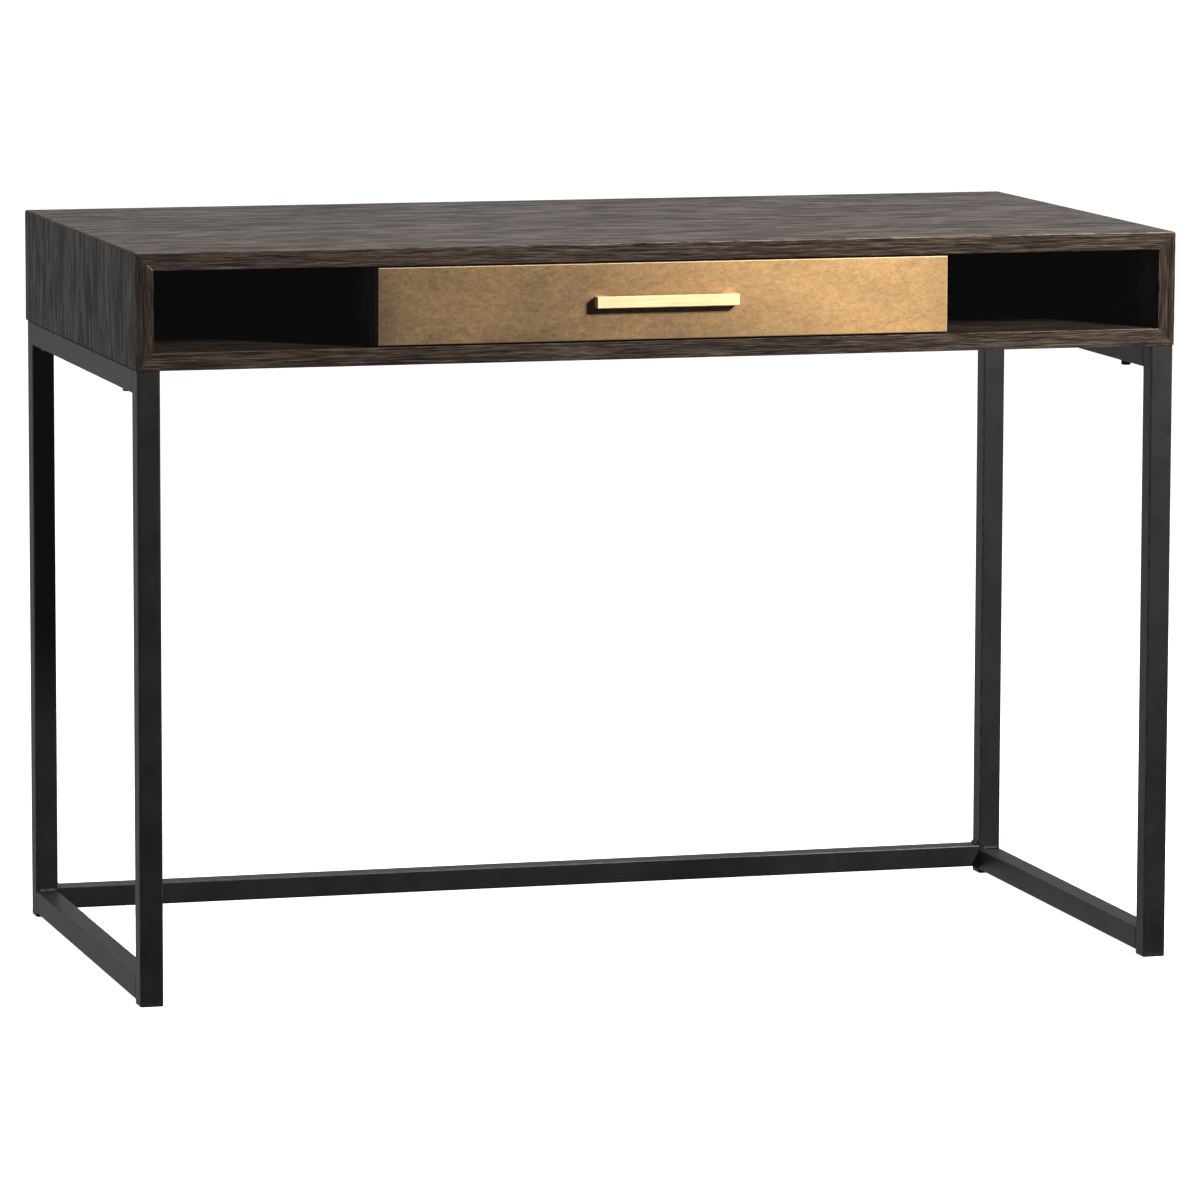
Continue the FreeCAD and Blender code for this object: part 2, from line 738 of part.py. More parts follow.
def onFront(run, middle):
    return abs(middle.y + amountOf("size.skin_return")) < 0.01


roundEdges(faceSkin, "size.skin_bend", onFront)
cutBox(faceSkin, (f"-{skinInner}", f"{front} + size.skin", f"{faceLow} + size.skin"),
       (skinInner, f"{front} + size.skin_return", f"{faceHigh} - size.skin"))
cutForward(faceSkin, f"{front} + size.skin", handleSpots, "size.skin")

faceCore = block("face_core", (f"-{skinInner}", f"{front} + size.skin", f"{faceLow} + size.skin"),
                 (skinInner, faceBack, f"{faceHigh} - size.skin"))
cutForward(faceCore, faceBack, handleSpots, "size.face_thick - size.skin")
cutForward(faceCore, faceBack, faceScrewSpots,
           "size.face_screw_length - size.box_wall + size.hole_end_play")

bumpers = newNode("drawer_bumpers", y=f"{faceBack} + size.bumper_thick", z=faceMiddle)
bumperSpots = [
    (f"{side} * {dividerMiddle}", f"{faceMiddle} + {level} * size.bumper_spread", "size.bumper_radius")
    for side in sides.values() for level in (-1, 1)
]
pad(bumpers, newSketch(bumpers, "XZ_Plane", circles=bumperSpots), "size.bumper_thick")

# ---- handle ----

barLow = f"({faceMiddle} - size.handle_height / 2)"
barHigh = f"({faceMiddle} + size.handle_height / 2)"
bar = block("handle_bar", (f"-{handleHalf}", handleFront, barLow), (handleHalf, postFront, barHigh))


# the bar's outer edges are eased, except the two that meet the posts
def onBarEdge(run, middle):
    return abs(middle.y - amountOf(postFront)) > 0.01


roundEdges(bar, "size.handle_ease", onBarEdge)
for x, z in handleSpots:
    cutHole(bar, "-Y", (x, postFront, z), panHole, barHole)
for name, side in sides.items():
    ends = (f"{side} * ({handleHalf} - size.handle_height)", f"{side} * {handleHalf}")
    low, high = ends if side > 0 else reversed(ends)
    post = block(f"{name}_handle_post", (low, postFront, barLow), (high, front, barHigh))
    roundEdges(post, "size.handle_ease", lambda run, middle: abs(run.y) > 0.99)
    cutForward(post, front, [(f"{side} * {postMiddle}", faceMiddle)],
               f"{front} - {postFront}")


def panScrew(label, length):
    return turned(label, [
        ("0", "-size.pan_head_height"),
        ("size.pan_head_radius - size.pan_head_round", "-size.pan_head_height"),
        ("size.pan_head_radius", "size.pan_head_round - size.pan_head_height"),
        ("size.pan_head_radius", "0"),
        ("size.pan_radius", "0"),
        ("size.pan_radius", length),
        ("0", length),
    ])


handleScrew = panScrew("handle_screw", handleScrewLength)
faceScrew = panScrew("face_screw", "size.face_screw_length")
copies("handle_screws", handleScrew,
       [((x, boxFrontBack, z), axisTurn["-Y"]) for x, z in handleSpots])
copies("face_screws", faceScrew,
       [((x, boxFrontBack, z), axisTurn["-Y"]) for x, z in faceScrewSpots])

# ---- drawer box ----

grooveHigh = f"({boxFloor} + size.box_bottom)"
bottomHalf = f"({boxInner} + size.box_groove)"

drawerFront = block("drawer_front", (f"-{boxInner}", faceBack, boxLow), (boxInner, boxFrontBack, boxHigh))
cutBox(drawerFront, (f"-{boxInner}", f"{boxFrontBack} - size.box_groove", boxFloor),
       (boxInner, boxFrontBack, grooveHigh))
cutForward(drawerFront, boxFrontBack, handleSpots + faceScrewSpots, "size.box_wall")

block("drawer_back", (f"-{boxInner}", f"{boxBack} - size.box_wall", grooveHigh), (boxInner, boxBack, boxHigh))
block("drawer_bottom", (f"-{bottomHalf}", f"{boxFrontBack} - size.box_groove", boxFloor),
      (bottomHalf, boxBack, grooveHigh))

for name, side in sides.items():
    outward, inward = ("+X", "-X") if side > 0 else ("-X", "+X")
    faces = (f"{side} * {boxInner}", f"{side} * {boxHalf}")
    low, high = faces if side > 0 else reversed(faces)
    wall = block(f"drawer_{name}_side", (low, faceBack, boxLow), (high, boxBack, boxHigh))
    grooves = (f"{side} * {boxInner}", f"{side} * {bottomHalf}")
    low, high = grooves if side > 0 else reversed(grooves)
    cutBox(wall, (low, f"{boxFrontBack} - size.box_groove", boxFloor), (high, boxBack, grooveHigh))
    for row in screwRows:
        cutHole(wall, inward, (f"{side} * {boxHalf}", row, slideMiddle), screwHole,
                "size.screw_length + size.hole_end_play")

# ---- checks and export ----

doc.recompute()
for item in doc.Objects:
    if "Invalid" in item.State or "Error" in item.State:
        raise RuntimeError(f"{item.Label} failed: {item.State}")
for node in nodes:
    if node.Shape.isNull() or not node.Shape.isValid():
        raise RuntimeError(f"{node.Label} has no valid shape")

os.makedirs("parts", exist_ok=True)
for node in nodes:
    node.Shape.exportStep(os.path.join("parts", node.Label + ".step"))
    print(node.Label, len(node.Shape.Solids), round(node.Shape.Volume))
print(len(nodes), "nodes")
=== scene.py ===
import math
import bmesh
import bpy
from mathutils import Matrix, Vector, noise


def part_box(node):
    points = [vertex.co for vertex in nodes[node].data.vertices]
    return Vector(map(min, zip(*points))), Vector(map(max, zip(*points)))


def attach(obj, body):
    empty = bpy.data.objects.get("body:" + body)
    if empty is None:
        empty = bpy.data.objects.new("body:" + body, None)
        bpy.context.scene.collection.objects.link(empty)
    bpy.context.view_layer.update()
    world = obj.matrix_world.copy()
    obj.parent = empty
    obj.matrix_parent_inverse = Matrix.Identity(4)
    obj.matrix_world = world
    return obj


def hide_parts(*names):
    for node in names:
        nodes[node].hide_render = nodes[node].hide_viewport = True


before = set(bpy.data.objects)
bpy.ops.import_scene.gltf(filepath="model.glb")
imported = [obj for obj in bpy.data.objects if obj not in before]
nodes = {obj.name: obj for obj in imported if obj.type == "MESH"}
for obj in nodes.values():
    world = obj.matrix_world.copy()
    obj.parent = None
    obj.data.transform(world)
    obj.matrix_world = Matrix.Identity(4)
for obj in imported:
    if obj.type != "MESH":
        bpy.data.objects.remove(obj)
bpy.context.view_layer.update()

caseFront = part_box("top_panel")[0].y
print("frame:", len(nodes), "nodes")


# shader building

class Wire:
    # an output socket that can stand in a sum; every operator adds its own Math node
    def __init__(self, finish, socket):
        self.finish = finish
        self.socket = socket

    def math(self, operation, *parts):
        return self.finish.node("Math", {"operation": operation}, dict(enumerate(parts)))

    def __add__(self, other):
        return self.math("ADD", self, other)

    def __radd__(self, other):
        return self.math("ADD", other, self)

    def __sub__(self, other):
        return self.math("SUBTRACT", self, other)

    def __rsub__(self, other):
        return self.math("SUBTRACT", other, self)

    def __mul__(self, other):
        return self.math("MULTIPLY", self, other)

    def __rmul__(self, other):
        return self.math("MULTIPLY", other, self)

    def atLeast(self, other):
        return self.math("MAXIMUM", self, other)


cornerRange = (0.995, 0.8)  # largest normal part where a corner starts and where it is full


class Finish:
    # one material, or the world, and the nodes that it is made of
    def __init__(self, name, owner=None):
        self.material = owner or bpy.data.materials.new(name)
        self.material.use_nodes = True
        self.tree = self.material.node_tree
        self.tree.nodes.clear()

    def node(self, kind, settings=None, inputs=None, output=0):
        made = self.tree.nodes.new("ShaderNode" + kind)
        for key, setting in (settings or {}).items():
            if key == "stops":
                elements = made.color_ramp.elements
                while len(elements) < len(setting):
                    elements.new(0.5)
                for element, (position, colour) in zip(elements, setting):
                    element.position = position
                    element.color = (*colour, 1)
            else:
                setattr(made, key, setting)
        for key, item in (inputs or {}).items():
            if isinstance(item, Wire):
                self.tree.links.new(item.socket, made.inputs[key])
            else:
                made.inputs[key].default_value = item
        return Wire(self, made.outputs[output]) if made.outputs else None

    def place(self, scale=(1, 1, 1), shift=(0, 0, 0)):
        spot = self.node("TexCoord", output="Object")
        moved = self.node("VectorMath", {"operation": "ADD"}, {0: spot, 1: shift})
        return self.node("VectorMath", {"operation": "MULTIPLY"}, {0: moved, 1: scale})

    def grain(self, vector, scale=1.0, detail=3.0, roughness=0.55, distortion=0.0):
        inputs = {"Vector": vector, "Scale": scale, "Detail": detail,
                  "Roughness": roughness, "Distortion": distortion}
        return self.node("TexNoise", None, inputs, "Fac")

    def fit(self, wire, low, high, toLow=0.0, toHigh=1.0):
        inputs = {"Value": wire, "From Min": low, "From Max": high,
                  "To Min": toLow, "To Max": toHigh}
        return self.node("MapRange", {"interpolation_type": "SMOOTHSTEP"}, inputs)

    def ramp(self, wire, stops):
        return self.node("ValToRGB", {"stops": stops}, {"Fac": wire}, "Color")

    def mix(self, factor, first, second):
        first = first if isinstance(first, Wire) else (*first, 1)
        second = second if isinstance(second, Wire) else (*second, 1)
        settings = {"data_type": "RGBA"}
        return self.node("Mix", settings, {0: factor, 6: first, 7: second}, 2)

    # 1 where an eased corner turns away from the object's axes, 0 on the flats
    def corners(self):
        facing = self.node("TexCoord", output="Normal")
        size = self.node("VectorMath", {"operation": "ABSOLUTE"}, {0: facing})
        parts = [self.node("SeparateXYZ", None, {0: size}, index) for index in range(3)]
        flat = parts[0].atLeast(parts[1]).atLeast(parts[2])
        return self.fit(flat, *cornerRange)

    def bump(self, height, distance, strength=1.0):
        inputs = {"Height": height, "Distance": distance, "Strength": strength}
        return self.node("Bump", None, inputs)

    def shade(self, **sockets):
        names = {"colour": "Base Color", "metallic": "Metallic", "roughness": "Roughness",
                 "normal": "Normal", "specular": "Specular IOR Level", "coat": "Coat Weight",
                 "coatRoughness": "Coat Roughness"}
        inputs = {names[key]: item for key, item in sockets.items()}
        surface = self.node("BsdfPrincipled", None, inputs)
        self.node("OutputMaterial", None, {"Surface": surface})
        return self.material


def alongFirst(axis, along, across):
    # a scale that is `along` on the grain's own axis and `across` on the other two
    return tuple(along if index == axis else across for index in range(3))


# wood
oak = {
    "dark": (0.0065, 0.0044, 0.0033),
    "middle": (0.033, 0.0232, 0.0175),
    "light": (0.098, 0.075, 0.060),
    "worn": (0.30, 0.235, 0.175),
    "sway": 0.008,
    "broad": (2.2, 12, 20),
    "bands": (13, 84, 440),
    "lines": (19, 250, 950),
    "fibre": (50, 560, 1800),
    "pores": (45, 900, 1300),
    "toneShift": -0.395,
    "oilRange": (0.62, 1.08),
    "oilLeast": 0.20,
    "oilSpread": 0.34,
    # depth behind the case front over which the painted shade changes from the front edge's level
    # to the level behind it
    "paintedShadeEdge": (0.001, 0.012),
    "grainDepth": 0.0007,
    "roughness": 0.78,
    "specular": 0.1,
    "coatRoughness": 0.16,
    # the painted highlight on the arrises grows towards the right
    "arrisHighlightRight": 0.6,
    "arrisPatches": 48.0,
}


# wire-brushed, dark stained oak: the grain runs along one axis, is wide on the board's faces and
# fine on its edges, and starts at its own place on each board; each scale in the dictionary is
# (lengthwise, across a face, across an edge)
def brushedOak(name, along, thick, shift, shade, insideShade, sheen):
    finish = Finish(name)
    bend = finish.grain(finish.place(alongFirst(along, 2.5, 6), shift), 1.0, 2.0)
    sideways = finish.node("CombineXYZ", None, {0: bend, 1: bend, 2: bend})
    offset = finish.node("VectorMath", {"operation": "SCALE"}, {0: sideways, "Scale": oak["sway"]})
    swept = finish.node("VectorMath", {"operation": "ADD"},
                        {0: finish.place(shift=shift), 1: offset})

    def stretched(lengthwise, onFace, onEdge):
        scale = [onFace] * 3
        scale[along] = lengthwise
        scale[thick] = onEdge
        return finish.node("VectorMath", {"operation": "MULTIPLY"}, {0: swept, 1: tuple(scale)})

    broad = finish.grain(stretched(*oak["broad"]), 1.0, 2.0)
    bands = finish.grain(stretched(*oak["bands"]), 1.0, 3.0, 0.65)
    lines = finish.grain(stretched(*oak["lines"]), 1.0, 3.0, 0.68)
    fibre = finish.grain(stretched(*oak["fibre"]), 1.0, 1.0)
    pores = finish.fit(finish.grain(stretched(*oak["pores"]), 1.0, 1.0), 0.56, 0.68)
    streaks = finish.fit(bands, 0.36, 0.64)
    tone = broad * 0.20 + streaks * 0.14 + lines * 0.95 + fibre * 0.50 + oak["toneShift"]
    oiled = finish.fit(streaks * 0.5 + lines * 0.9 + fibre * 0.3, *oak["oilRange"])
    colour = finish.ramp(tone, [(0.33, oak["dark"]), (0.50, oak["middle"]), (0.68, oak["light"])])
    colour = finish.mix(pores * 0.6, colour, oak["dark"])
    spot = finish.node("TexCoord", output="Object")
    across, depth = [finish.node("SeparateXYZ", None, {0: spot}, index) for index in (0, 1)]
    # painted light and shade: each board's colour is scaled by one factor on its front edge and by
    # another behind it, lighter or darker as the lamps fall on each face
    edgeStart, edgeEnd = [caseFront + reach for reach in oak["paintedShadeEdge"]]
    paintedLightLevel = finish.fit(depth, edgeStart, edgeEnd, shade, insideShade)
    paintedLightGrey = finish.node("CombineXYZ", None, {0: paintedLightLevel, 1: paintedLightLevel, 2: paintedLightLevel})
    colour = finish.node("VectorMath", {"operation": "MULTIPLY"}, {0: colour, 1: paintedLightGrey})
    # arrises are painted lighter: partly edge wear, partly a painted highlight that grows towards
    # the lamp on the right
    patches = finish.grain(finish.place(shift=shift), oak["arrisPatches"], 4.0, 0.6)
    patchy = finish.fit(patches, 0.36, 0.58)
    litFromRight = finish.fit(across, -0.6, 0.35, 1 - oak["arrisHighlightRight"], 1.0)
    arris = finish.corners()
    worn = arris * patchy * litFromRight
    colour = finish.mix(worn * 0.8, colour, oak["worn"])
    height = bands * 0.35 + lines * 0.6 + fibre * 0.5 - pores * 0.6
    return finish.shade(
        colour=colour,
        roughness=oak["roughness"] + (streaks - 0.5) * 0.1 + (lines - 0.5) * 0.3 - worn * 0.1,
        specular=oak["specular"],
        coat=(oak["oilLeast"] + oiled * oak["oilSpread"]) * sheen * (1 - arris),
        coatRoughness=oak["coatRoughness"],
        normal=finish.bump(height, oak["grainDepth"], 1.0),
    )


birch = {
    "pale": (0.60, 0.43, 0.26),
    "deep": (0.43, 0.28, 0.15),
    "fleck": (0.33, 0.20, 0.10),
    "figure": (2.0, 34),
    "fibre": (22, 700),
    "flecks": (90, 900),
    "grainDepth": 0.00012,
    "roughness": 0.38,
}


def lacqueredBirch(name, axis, shift):
    finish = Finish(name)
    spot, fine, finest = [finish.place(alongFirst(axis, *birch[key]), shift)
                          for key in ("figure", "fibre", "flecks")]
    figure = finish.grain(spot, 1.0, 4.0, 0.55, 0.6)
    fibre = finish.grain(fine, 1.0, 2.0)
    flecks = finish.fit(finish.grain(finest, 1.0, 1.0), 0.62, 0.72)
    colour = finish.ramp(figure * 0.7 + fibre * 0.3, [(0.32, birch["deep"]), (0.62, birch["pale"])])
    colour = finish.mix(flecks * 0.45, colour, birch["fleck"])
    worn = finish.corners()
    return finish.shade(
        colour=finish.mix(worn * 0.35, colour, birch["deep"]),
        roughness=birch["roughness"] + fibre * 0.14,
        normal=finish.bump(fibre * 0.7 + figure * 0.3, birch["grainDepth"], 0.6),
    )


# metal, plastic and rubber
gunmetal = {
    "dark": (0.0028, 0.0027, 0.0025),
    "light": (0.0096, 0.0091, 0.0084),
    "worn": (0.07, 0.066, 0.06),
    # painted shade under the case: its colour and how far below the joint it reaches
    "underCaseShade": (0.003, 0.003, 0.003),
    "joint": 0.642,
    "underCaseShadeReach": 0.0025,
    "cloudScale": 26.0,
    "speckleScale": 620.0,
    "pitScale": 1500.0,
    "wearScale": 90.0,
    "textureDepth": 0.00012,
    "metallic": 0.2,
    "specular": 0.6,
    "roughness": 0.33,
}


def coatedSteel(name, tint=1.0):
    finish = Finish(name)
    cloud = finish.grain(finish.place(shift=(2.1, 0.4, 1.7)), gunmetal["cloudScale"], 4.0, 0.6)
    speckle = finish.grain(finish.place(), gunmetal["speckleScale"], 3.0, 0.7)
    pits = finish.fit(finish.grain(finish.place(), gunmetal["pitScale"], 1.0), 0.60, 0.72)
    dark = tuple(part * tint for part in gunmetal["dark"])
    light = tuple(part * tint for part in gunmetal["light"])
    colour = finish.ramp(cloud * 0.6 + speckle * 0.5, [(0.40, dark), (0.70, light)])
    spot = finish.node("TexCoord", output="Object")
    level = finish.node("SeparateXYZ", None, {0: spot}, 2)
    underCaseShadeStart = gunmetal["joint"] - gunmetal["underCaseShadeReach"]  # painted shade under the case, where the rails meet it
    underCaseShaded = finish.fit(level, underCaseShadeStart, gunmetal["joint"])
    colour = finish.mix(underCaseShaded * 0.85, colour, gunmetal["underCaseShade"])
    wear = finish.grain(finish.place(), gunmetal["wearScale"], 3.0)
    rubbed = finish.corners() * finish.fit(wear, 0.35, 0.65)
    return finish.shade(
        colour=finish.mix(rubbed * 0.6, colour, gunmetal["worn"]),
        metallic=gunmetal["metallic"],
        roughness=gunmetal["roughness"] + cloud * 0.14 + speckle * 0.08,
        specular=gunmetal["specular"],
        normal=finish.bump(speckle - pits * 0.5, gunmetal["textureDepth"], 0.55),
    )


patina = {
    "bright": (0.60, 0.385, 0.178),
    "middle": (0.40, 0.258, 0.124),
    "dull": (0.13, 0.094, 0.056),
    "edge": (1.0, 0.80, 0.52),
    "endWidth": 0.03,
    # painted shade sweeps from the upper right down to the left and the lower edge
    "shadeSweepFrom": 0.19,
    "shadeSweepFull": -0.11,
    "clouds": (9, 9, 20),
    "mottle": (110, 110, 170),
    "speckle": (460, 460, 700),
    "brushed": (26, 26, 700),
    "tarnishAndShadeShift": -0.15,
    "textureDepth": 0.00014,
    "metallic": 0.9,
    "roughness": 0.52,
}


# antiqued sheet: fine mottling over soft clouds of patina, with painted shade darkening it towards
# the left and the lower edge, darker at the very ends, and the folded edges rubbed bright
def patinaBrass():
    finish = Finish("patinaBrass")
    low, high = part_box("face_skin")
    half = (high.x - low.x) / 2
    spot = finish.node("TexCoord", output="Object")
    across, _, level = [finish.node("SeparateXYZ", None, {0: spot}, index) for index in range(3)]
    fromEnd = half - across.math("ABSOLUTE", across)
    clouds = finish.grain(finish.place(patina["clouds"]), 1.0, 3.0, 0.6, 0.3)
    mottle = finish.grain(finish.place(patina["mottle"]), 1.0, 4.0, 0.75, 0.4)
    speckle = finish.grain(finish.place(patina["speckle"]), 1.0, 3.0, 0.75)
    brushed = finish.grain(finish.place(patina["brushed"]), 1.0, 2.0, 0.6)
    ends = finish.fit(fromEnd + (mottle - 0.5) * 0.04, patina["endWidth"], 0.0)
    # painted shade: darker towards the left and the lower edge, away from the lamp
    reach = across + (level - (low.z + high.z) / 2) * 1.6 + (clouds - 0.5) * 0.35
    paintedShadeSweep = finish.fit(reach, patina["shadeSweepFrom"], patina["shadeSweepFull"])
    tarnishAndShade = (paintedShadeSweep * 0.34 + clouds * 0.36 + mottle * 0.44 + speckle * 0.44 + brushed * 0.12
               + ends * 0.09 + patina["tarnishAndShadeShift"])
    stops = [(0.44, patina["bright"]), (0.64, patina["middle"]), (1.0, patina["dull"])]
    colour = finish.ramp(tarnishAndShade, stops)
    rubbed = finish.corners()
    colour = finish.mix(rubbed * 0.9, colour, patina["edge"])
    return finish.shade(
        colour=colour,
        metallic=patina["metallic"],
        roughness=patina["roughness"] + speckle * 0.10 + tarnishAndShade * 0.06,
        normal=finish.bump(speckle * 0.7 + mottle * 0.3 + brushed * 0.3,
                           patina["textureDepth"], 0.6),
    )


satin = {
    "light": (1.0, 0.80, 0.51),
    "deep": (0.90, 0.67, 0.38),
    "lines": (14, 1500),
    "smudgeScale": 40.0,
    "lineDepth": 0.00008,
    "metallic": 0.97,
    "roughness": 0.50,
}


def brushedBrass(name, axis):
    finish = Finish(name)
    lines = finish.grain(finish.place(alongFirst(axis, *satin["lines"])), 1.0, 3.0, 0.65)
    smudge = finish.grain(finish.place(), satin["smudgeScale"], 3.0, 0.6)
    stops = [(0.36, satin["deep"]), (0.58, satin["light"])]
    colour = finish.ramp(lines * 0.7 + smudge * 0.3, stops)
    return finish.shade(
        colour=colour,
        metallic=satin["metallic"],
        roughness=satin["roughness"] + lines * 0.12 + smudge * 0.10,
        normal=finish.bump(lines, satin["lineDepth"], 0.6),
    )


zinc = {
    "light": (0.66, 0.67, 0.68),
    "dark": (0.42, 0.43, 0.45),
    "drawn": (10, 900),
    "spangleScale": 210.0,
    "lineDepth": 0.00005,
    "roughness": 0.30,
}


def platedSteel(name, axis, tint=1.0, roughness=None):
    finish = Finish(name)
    base = zinc["roughness"] if roughness is None else roughness
    drawn = finish.grain(finish.place(alongFirst(axis, *zinc["drawn"])), 1.0, 2.0)
    cells = {"Vector": finish.place(), "Scale": zinc["spangleScale"]}
    spangle = finish.node("TexVoronoi", None, cells, "Color")
    spangleTone = finish.node("SeparateColor", None, {0: spangle}, 0)
    light = tuple(part * tint for part in zinc["light"])
    dark = tuple(part * tint for part in zinc["dark"])
    colour = finish.ramp(drawn * 0.6 + spangleTone * 0.4, [(0.25, dark), (0.75, light)])
    return finish.shade(
        colour=colour,
        metallic=1.0,
        roughness=base + drawn * 0.12 + spangleTone * 0.06,
        normal=finish.bump(drawn, zinc["lineDepth"], 0.5),
    )


moulded = {
    "textureScale": 1400.0,
    "scuffScale": 160.0,
    "scuffGain": 2.4,
    "textureDepth": 0.00008,
}


def mouldedPlastic(name, colour, roughness):
    finish = Finish(name)
    texture = finish.grain(finish.place(), moulded["textureScale"], 2.0, 0.6)
    scuff = finish.fit(finish.grain(finish.place(), moulded["scuffScale"], 4.0, 0.7), 0.45, 0.7)
    worn = tuple(min(1, part * moulded["scuffGain"]) for part in colour)
    return finish.shade(
        colour=finish.mix(scuff * 0.35 + finish.corners() * 0.25, colour, worn),
        roughness=roughness + scuff * 0.15,
        normal=finish.bump(texture, moulded["textureDepth"], 0.5),
    )


steelFinish = coatedSteel("gunmetalSteel")
# bolts and washers get the frame's steel painted 1.6 times lighter, painted light for heads that
# sit in shade under the rails
boltFinish = coatedSteel("shadeLiftedBolt", 1.6)
skinFinish = patinaBrass()
barFinish = brushedBrass("satinBrassBar", 0)
postFinish = brushedBrass("satinBrassPost", 1)
runnerFinish = platedSteel("zincRunner", 1)
screwFinish = platedSteel("zincScrew", 0, 0.9)
ballFinish = platedSteel("ballSteel", 0, 1.15, 0.12)
plasticFinish = mouldedPlastic("blackGlide", (0.012, 0.012, 0.013), 0.42)
rubberFinish = mouldedPlastic("bumperRubber", (0.03, 0.03, 0.03), 0.6)
print("finishes made")


# pieces: every new one rides a body, stands for CAD nodes and has a slot
def addPiece(name, vertices, faces, material, body, replaced, smooth=None):
    mesh = bpy.data.meshes.new(name)
    mesh.from_pydata(vertices, [], faces)
    mesh.validate()
    mesh.update()
    for index, polygon in enumerate(mesh.polygons):
        polygon.use_smooth = bool(smooth[index]) if smooth else False
    piece = bpy.data.objects.new(name, mesh)
    bpy.context.scene.collection.objects.link(piece)
    mesh.materials.append(material)
    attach(piece, body)
    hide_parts(*replaced)
    return piece


def bridge(first, second, count):
    # quads between two rings of equal length, by the index of each ring's first vertex
    return [(first + step, first + (step + 1) % count, second + (step + 1) % count, second + step)
            for step in range(count)]


# A board is lofted along its grain. Every station is a rectangle with four eased corners whose
# radii wander a little, so the arrises look hand-worn. With a mitre the ends slope at 45 degrees
# from the outer face to the inner one, and the outer edge rounds over into the next board.
board = {
    "station": 0.006,
    "arcSteps": 4,
    "endEase": 0.00025,
    "outerEase": 0.0014,
    "innerEase": 0.0006,
    "wander": 0.6,
    "slowWander": 22,
    "quickWander": 85,
    "quickShare": 0.6,
    "roundOver": 0.0024,
    "drawerEase": (0.0006, 0.0006),
}


def boardStations(length, mitre):
    # end, distance in from the end plane, least depth below the outer face and ring inset
    ends = [(0, 0, board["endEase"]), (board["endEase"], 0, 0)]
    if mitre:
        ends = []
        for turn in (45, 30, 15, 0):
            c = math.cos(math.radians(turn))
            s = math.sin(math.radians(turn))
            ends.append((board["roundOver"] * (c - s), board["roundOver"] * (1 - c), 0))
        ends.insert(0, (0, ends[0][1], board["endEase"]))
        ends[1] = (board["endEase"], ends[1][1], 0)
    count = max(8, round(length / board["station"]))
    stations = [(-1, *end) for end in ends]
    stations += [(-1 + 2 * step / count, ends[-1][0], 0, 0) for step in range(1, count)]
    stations += [(1, *end) for end in reversed(ends)]
    return stations


def easedBoard(name, node, body, material, along, thick, outer=1, mitre=0, ease=None):
    low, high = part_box(node)
    wide = 3 - along - thick
    depth = high[thick] - low[thick]
    outerEase, innerEase = ease or (board["outerEase"], board["innerEase"])
    middle = (low[along] + high[along]) / 2
    half = (high[along] - low[along]) / 2
    stations = boardStations(2 * half, mitre)
    seed = sum(map(ord, name)) * 0.37
    vertices = []
    for reach, cut, least, shrink in stations:
        spot = middle + half * reach
        # corners in order: outer front, inner front, inner back, outer back
        for corner in range(4):
            inner = corner in (1, 2)
            atBack = corner in (2, 3)
            base = innerEase if inner else outerEase
            sway = noise.noise(Vector((spot * board["slowWander"], corner * 7.3, seed)))
            quick = Vector((spot * board["quickWander"], corner * 3.1, seed + 4))
            sway += board["quickShare"] * noise.noise(quick)
            radius = base * (1 + board["wander"] * sway)
            for step in range(board["arcSteps"]):
                turn = (corner + step / (board["arcSteps"] - 1)) * math.pi / 2
                # t is the depth below the outer face and w the place across the board
                t = (depth - radius if inner else radius) - radius * math.cos(turn)
                w = high[wide] - radius if atBack else low[wide] + radius
                w -= radius * math.sin(turn)
                t = min(max(t, least, shrink), depth - shrink)
                w = min(max(w, low[wide] + shrink), high[wide] - shrink)
                point = [0, 0, 0]
                point[thick] = high[thick] - t if outer > 0 else low[thick] + t
                point[wide] = w
                point[along] = middle + reach * (half - mitre * t - cut)
                vertices.append(point)
    ring = 4 * board["arcSteps"]
    faces = []
    smooth = []
    for station in range(len(stations) - 1):
        faces += bridge(station * ring, (station + 1) * ring, ring)
        rounding = mitre and (station < 4 or station > len(stations) - 6)
        smooth += [rounding or (step + 1) % board["arcSteps"] != 0 for step in range(ring)]
    last = (len(stations) - 1) * ring
    faces.append(tuple(range(ring)))
    faces.append(tuple(reversed(range(last, last + ring))))
    smooth += [False, False]
    # the winding flips with the axes' order and with the side the outer face is on
    swapped = ((along, thick, wide) in ((0, 1, 2), (1, 2, 0), (2, 0, 1))) != (outer > 0)
    if swapped:
        faces = [tuple(reversed(face)) for face in faces]
    return addPiece(name, vertices, faces, material, body, [node], smooth)


# name, node, grain axis, thickness axis, side of the outer face, mitre
caseBoards = [
    ("topPanel", "top_panel", 0, 2, 1, 1),
    ("bottomPanel", "bottom_panel", 0, 2, -1, 1),
    ("leftSidePanel", "left_side_panel", 2, 0, -1, 1),
    ("rightSidePanel", "right_side_panel", 2, 0, 1, 1),
    ("leftDivider", "left_divider", 2, 0, -1, 0),
    ("rightDivider", "right_divider", 2, 0, 1, 0),
    ("backPanel", "back_panel", 0, 1, 1, 0),
]
# how much painted light or shade each board's colour gets on its front edge and behind it, and how
# oily it is
paintedShades = {
    "topPanel": (1.12, 1.15, 0.8),
    "bottomPanel": (1.08, 0.5, 0.6),
    "leftSidePanel": (0.74, 1.0, 0.52),
    "rightSidePanel": (0.78, 1.0, 0.52),
}
for order, (name, node, along, thick, outer, mitre) in enumerate(caseBoards):
    shade, insideShade, sheen = paintedShades.get(name, (1.0, 1.0, 0.6))
    shift = (order * 1.37, order * 0.71, order * 2.13)
    material = brushedOak(name + "Oak", along, thick, shift, shade, insideShade, sheen)
    easedBoard(name, node, "desk", material, along, thick, outer, mitre)

